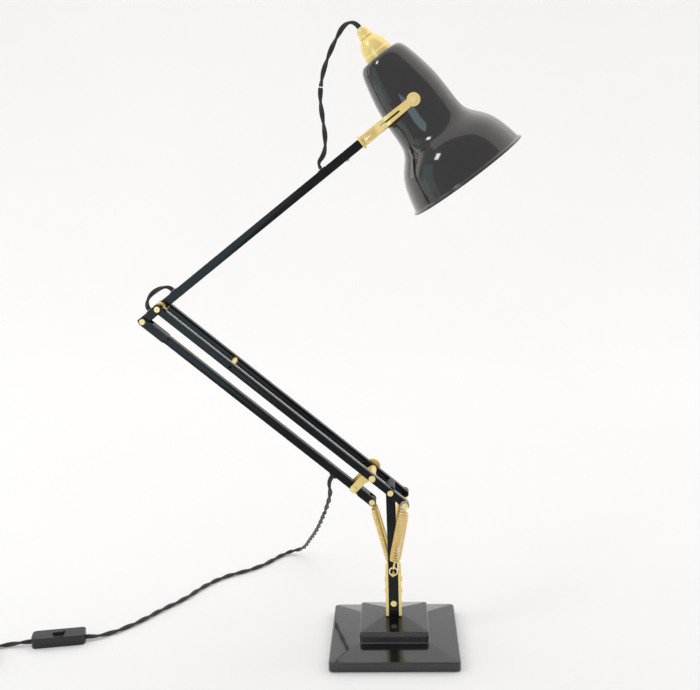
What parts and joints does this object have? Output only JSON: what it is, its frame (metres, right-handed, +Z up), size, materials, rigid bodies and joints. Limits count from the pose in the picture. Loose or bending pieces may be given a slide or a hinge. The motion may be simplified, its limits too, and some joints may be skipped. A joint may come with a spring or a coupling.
{
  "type": "architect desk lamp",
  "caption": "Spring-balanced desk lamp: stepped square base, swivel post, two jointed arms linked as a parallelogram, brass fork and glossy bell shade on a fabric lead.",
  "frame": {"origin": "middle of the base's underside", "axes": "+Z up, +X from the elbow towards the shade, -Y the near side with the exposed screw heads"},
  "size_m": [0.7033, 0.4406, 0.7169],
  "materials": {
    "black_gloss": "gloss",
    "shade_black": "gloss",
    "brass": "satin",
    "blued_steel": "satin",
    "plain_steel": "satin",
    "spring_brass": "polished",
    "cord_fabric": "woven",
    "black_plastic": "matte",
    "pale_plastic": "gloss",
    "lamp_glass": "frosted",
    "cast_weight": "rough",
    "pad_rubber": "matte"
  },
  "bodies": {
    "base": {"base_cover": "black_gloss", "base_weight": "cast_weight", "base_pad": "pad_rubber", "base_screws": "plain_steel", "spindle_bush": "brass", "lead_run": "cord_fabric", "lead_tail": "cord_fabric", "lead_coil": "cord_fabric", "plug_cord": "cord_fabric", "switch_lower": "black_plastic", "switch_upper": "black_plastic", "plug_body": "black_plastic", "plug_pins": "plain_steel"},
    "switch_key": {"switch_rocker": "black_plastic"},
    "post": {"spindle": "plain_steel", "spindle_nut": "plain_steel", "post_block": "black_gloss", "post_cheeks": "brass", "cheek_rivets": "brass", "post_bars": "black_gloss", "post_bolt": "brass", "rear_spring_anchor": "brass", "front_spring_anchors": "brass", "shoulder_sleeve": "blued_steel", "shoulder_bolt": "brass"},
    "lower_arm": {"lower_bar_near": "black_gloss", "lower_bar_far": "black_gloss", "arm_spacer": "brass", "rocker_bolt": "brass", "spring_pins": "brass", "elbow_bolt": "brass", "elbow_sleeves": "brass"},
    "knob": {"tension_knob": "brass"},
    "rocker": {"rocker_link": "brass", "rocker_screw": "brass"},
    "link": {"link_bar": "black_gloss", "link_plates": "black_gloss", "link_pins": "brass", "lead_grommet": "black_plastic", "lead_drop": "cord_fabric"},
    "upper_arm": {"upper_tube": "black_gloss", "fork_screw": "brass", "cord_bushes": "black_plastic", "elbow_cord": "cord_fabric", "head_cord": "cord_fabric"},
    "fork": {"fork": "brass"},
    "head": {"shade": "shade_black", "pivot_screws": "brass", "cap": "brass", "cord_gland": "brass", "cord_sleeve": "pale_plastic", "lampholder": "pale_plastic", "bulb": "lamp_glass"},
    "front_tails": {"front_spring_tails": "spring_brass"},
    "front_hooks": {"front_spring_hooks": "spring_brass", "front_spring_coils": "spring_brass"},
    "rear_roller": {"rear_spring_roller": "plain_steel"},
    "rear_hooks": {"rear_spring_hooks": "spring_brass"},
    "rear_coils": {"rear_spring_coils": "spring_brass"},
    "rear_tails": {"rear_spring_tails": "spring_brass"}
  },
  "joints": [
    {"name": "swivel", "type": "hinge", "parent": "base", "child": "post", "pos_m": [0, 0, 0.039], "axis": [0, 0, 1], "range_deg": [-90, 90]},
    {"name": "shoulder", "type": "hinge", "parent": "post", "child": "lower_arm", "pos_m": [-0.0014, 0, 0.1945], "axis": [0, 1, 0], "range_deg": [-15, 35], "deforming": ["lead_drop", "front_spring_coils", "front_spring_hooks", "front_spring_tails"]},
    {"name": "knob_turn", "type": "hinge", "parent": "lower_arm", "child": "knob", "pos_m": [-0.02193, 0, 0.21204], "axis": [0, 1, 0], "range_deg": [-180, 180]},
    {"name": "rocker_pivot", "type": "hinge", "parent": "lower_arm", "child": "rocker", "pos_m": [-0.02193, 0, 0.21204], "axis": [0, 1, 0], "range_deg": [-31, 21]},
    {"name": "link_pivot", "type": "hinge", "parent": "rocker", "child": "link", "pos_m": [-0.04341, 0, 0.19567], "axis": [0, 1, 0], "range_deg": [-21, 31]},
    {"name": "elbow", "type": "hinge", "parent": "lower_arm", "child": "upper_arm", "pos_m": [-0.25636, 0, 0.41226], "axis": [0, 1, 0], "range_deg": [-30, 20], "deforming": ["rear_spring_coils", "rear_spring_hooks", "rear_spring_tails"]},
    {"name": "fork_swivel", "type": "hinge", "parent": "upper_arm", "child": "fork", "pos_m": [-0.02647, 0, 0.58739], "axis": [0.7955, 0, 0.606], "range_deg": [-60, 60], "deforming": ["head_cord"]},
    {"name": "head_tilt", "type": "hinge", "parent": "fork", "child": "head", "pos_m": [0.0308, 0, 0.63102], "axis": [0, 1, 0], "range_deg": [-50, 30]},
    {"name": "front_spring_swing", "type": "hinge", "parent": "post", "child": "front_tails", "pos_m": [0.0004, 0, 0.0995], "axis": [0, 1, 0], "range_deg": [-6.69, 2.9]},
    {"name": "front_spring_stretch", "type": "slide", "parent": "front_tails", "child": "front_hooks", "axis": [0.1844, 0, 0.9829], "range_m": [-0.0094, 0.0041]},
    {"name": "rear_spring_hang", "type": "hinge", "parent": "link", "child": "rear_roller", "pos_m": [-0.02288, 0, 0.17814], "axis": [0, 1, 0], "range_deg": [-38.96, 16.73]},
    {"name": "rear_spring_swing", "type": "hinge", "parent": "rear_roller", "child": "rear_hooks", "pos_m": [-0.02288, 0, 0.17814], "axis": [0, 1, 0], "range_deg": [-1.89, 2.8]},
    {"name": "rear_spring_stretch", "type": "slide", "parent": "rear_hooks", "child": "rear_coils", "axis": [0.2502, 0, -0.9682], "range_m": [-0.0122, 0.0081]},
    {"name": "rear_spring_follow", "type": "slide", "parent": "rear_coils", "child": "rear_tails", "axis": [0.2502, 0, -0.9682], "range_m": [-0.0061, 0.0142]},
    {"name": "switch_rock", "type": "hinge", "parent": "base", "child": "switch_key", "pos_m": [-0.40797, -0.00114, 0.008], "axis": [0.1822, -0.9833, 0], "range_deg": [-8, 8]}
  ],
  "couplings": [
    {"joint": "rocker_pivot", "follows": "elbow", "ratio": 1},
    {"joint": "link_pivot", "follows": "elbow", "ratio": -1},
    {"joint": "front_spring_swing", "follows": "shoulder", "ratio": -0.186},
    {"joint": "front_spring_stretch", "follows": "shoulder", "m_per_rad": -0.0149},
    {"joint": "rear_spring_hang", "follows": "shoulder", "ratio": -1.09},
    {"joint": "rear_spring_swing", "follows": "elbow", "ratio": -0.09},
    {"joint": "rear_spring_stretch", "follows": "elbow", "m_per_rad": 0.0226},
    {"joint": "rear_spring_follow", "follows": "shoulder", "m_per_rad": 0.0226}
  ]
}
